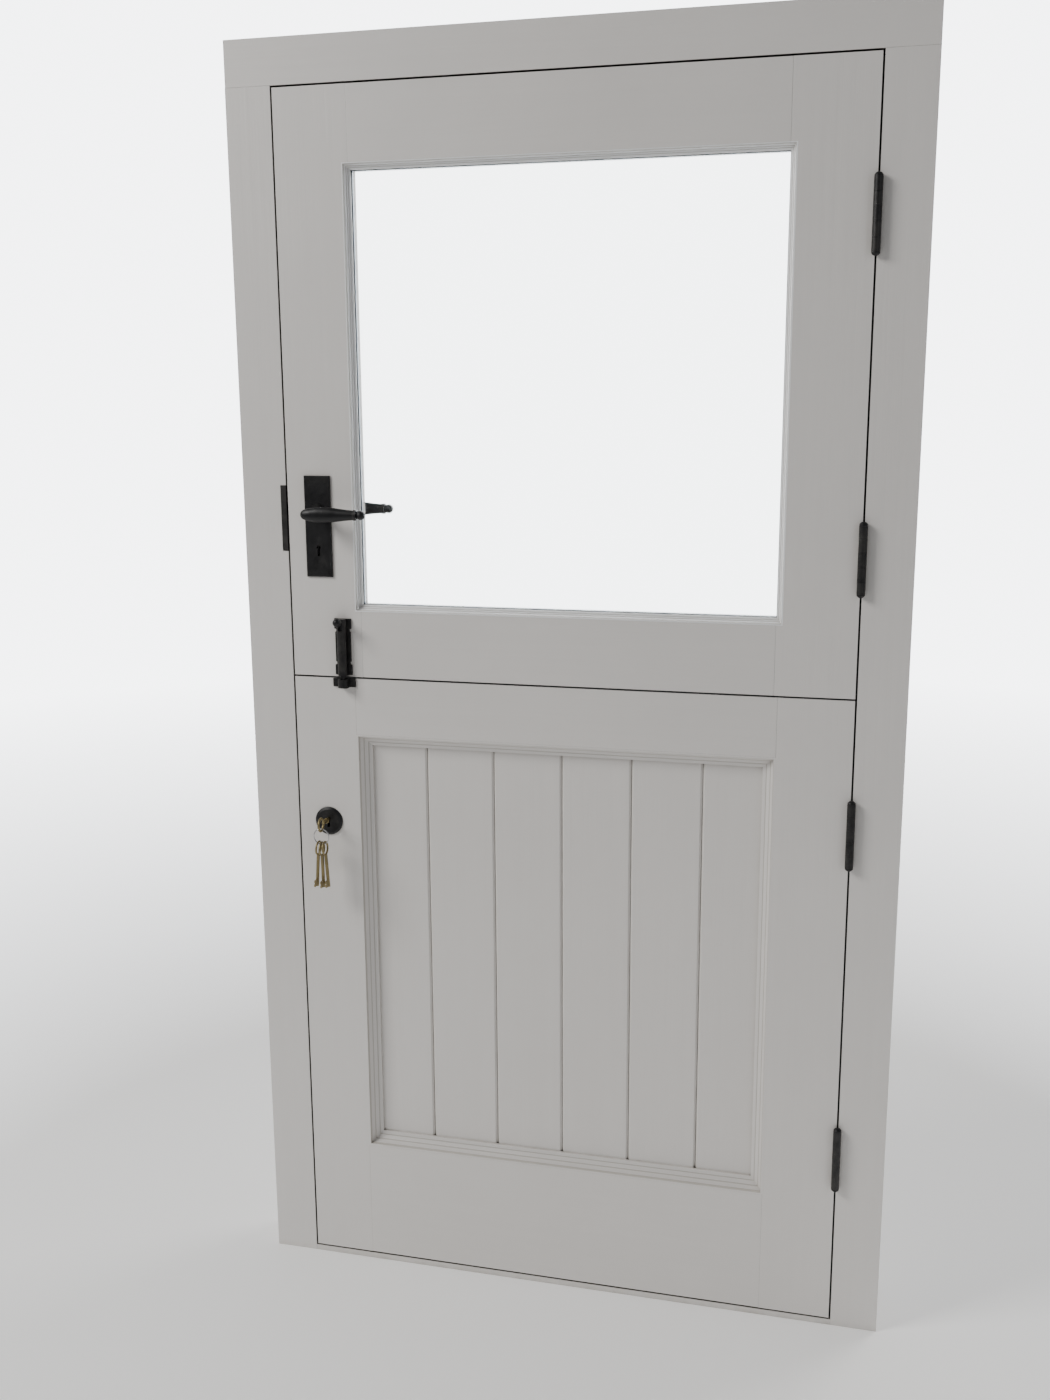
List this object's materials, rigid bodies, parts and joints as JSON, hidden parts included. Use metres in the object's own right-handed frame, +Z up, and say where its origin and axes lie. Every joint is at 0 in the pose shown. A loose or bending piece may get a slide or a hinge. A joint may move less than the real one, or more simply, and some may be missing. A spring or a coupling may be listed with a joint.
{
  "type": "stable door",
  "caption": "Framed stable door with a glazed upper leaf and a boarded lower leaf, each opening on its own hinges and joined by a sliding bolt.",
  "frame": {"origin": "on the floor line under the threshold, midway between the two jambs and midway through the depth of the jambs", "axes": "+Z up; +X to the right as seen from the room, from the lock side to the hinge side; +Y from the room to the outside"},
  "size_m": [1.071, 0.1789, 2.067],
  "materials": {
    "paint": "satin off-white paint on timber",
    "bead_paint": "satin white paint on timber",
    "sill_paint": "satin off-white paint on timber",
    "seal_rubber": "matt pale grey",
    "clear_glass": "clear polished float glass",
    "spacer_grey": "satin",
    "black_iron": "satin black",
    "lock_steel": "satin",
    "bronzed_strike": "dark grey bronze, satin",
    "key_brass": "worn satin brass",
    "ring_steel": "bright wire"
  },
  "bodies": {
    "frame": {"frame_head": "paint", "frame_hinge_jamb": "paint", "frame_lock_jamb": "paint", "frame_threshold": "sill_paint", "frame_seal": "seal_rubber", "upper_strike_plate": "bronzed_strike", "lower_strike_plate": "bronzed_strike", "frame_hinge_flaps": "black_iron", "hinge_pins": "black_iron", "frame_screws": "black_iron"},
    "upper_leaf": {"upper_lock_stile": "paint", "upper_hinge_stile": "paint", "upper_top_rail": "paint", "upper_bottom_rail": "paint", "glazing_bead_top": "bead_paint", "glazing_bead_hinge_side": "bead_paint", "glazing_bead_bottom": "bead_paint", "glazing_bead_lock_side": "bead_paint", "inner_pane": "clear_glass", "outer_pane": "clear_glass", "spacer_bar": "spacer_grey", "upper_lock_case": "lock_steel", "upper_forend": "lock_steel", "inner_lever_plate": "black_iron", "outer_lever_plate": "black_iron", "stable_bolt_plate": "black_iron", "upper_hinge_flaps": "black_iron", "upper_leaf_screws": "black_iron"},
    "lower_leaf": {"lower_lock_stile": "paint", "lower_hinge_stile": "paint", "lower_top_rail": "paint", "lower_bottom_rail": "paint", "panel_board_1": "paint", "panel_board_2": "paint", "panel_board_3": "paint", "panel_board_4": "paint", "panel_board_5": "paint", "panel_board_6": "paint", "panel_moulding_top": "paint", "panel_moulding_hinge_side": "paint", "panel_moulding_bottom": "paint", "panel_moulding_lock_side": "paint", "weather_board": "paint", "lower_lock_case": "lock_steel", "lower_forend": "lock_steel", "inner_escutcheon": "black_iron", "outer_escutcheon": "black_iron", "stable_bolt_keep": "black_iron", "lower_hinge_flaps": "black_iron", "lower_leaf_screws": "black_iron"},
    "levers": {"inner_lever": "black_iron", "outer_lever": "black_iron", "spindle": "lock_steel"},
    "latch": {"latch_bolt": "lock_steel"},
    "upper_bolt": {"upper_deadbolt": "lock_steel"},
    "stable_bolt": {"stable_bolt_rod": "black_iron"},
    "key": {"lock_key": "key_brass"},
    "lower_bolt": {"lower_deadbolt": "lock_steel"},
    "keys_on_ring": {"key_ring": "ring_steel", "hung_key_bunch": "key_brass"}
  },
  "joints": [
    {"name": "upper_leaf_hinge", "type": "hinge", "parent": "frame", "child": "upper_leaf", "pos_m": [0.459, -0.054, 1.534], "axis": [0, 0, 1], "range_deg": [0, 90]},
    {"name": "lower_leaf_hinge", "type": "hinge", "parent": "frame", "child": "lower_leaf", "pos_m": [0.459, -0.054, 0.542], "axis": [0, 0, 1], "range_deg": [0, 90]},
    {"name": "lever_turn", "type": "hinge", "parent": "upper_leaf", "child": "levers", "pos_m": [-0.4055, -0.025, 1.3445], "axis": [0, 1, 0], "range_deg": [0, 40], "stiffness_Nm_per_rad": 1.5, "springref_deg": -28.65},
    {"name": "latch_slide", "type": "slide", "parent": "upper_leaf", "child": "latch", "axis": [-1, 0, 0], "range_m": [0, 0.01]},
    {"name": "upper_bolt_slide", "type": "slide", "parent": "upper_leaf", "child": "upper_bolt", "axis": [-1, 0, 0], "range_m": [0, 0.014]},
    {"name": "stable_bolt_slide", "type": "slide", "parent": "upper_leaf", "child": "stable_bolt", "axis": [0, 0, -1], "range_m": [0, 0.013]},
    {"name": "key_turn", "type": "hinge", "parent": "lower_leaf", "child": "key", "pos_m": [-0.4055, -0.06, 0.826], "axis": [0, 1, 0], "range_deg": [0, 360]},
    {"name": "lower_bolt_slide", "type": "slide", "parent": "lower_leaf", "child": "lower_bolt", "axis": [-1, 0, 0], "range_m": [0, 0.014]},
    {"name": "key_ring_swing", "type": "hinge", "parent": "key", "child": "keys_on_ring", "pos_m": [-0.4055, -0.085, 0.8154], "axis": [0, 1, 0], "range_deg": [-40, 40]}
  ],
  "couplings": [
    {"joint": "key_turn", "follows": "lower_bolt_slide", "rad_per_m": 448.79}
  ]
}
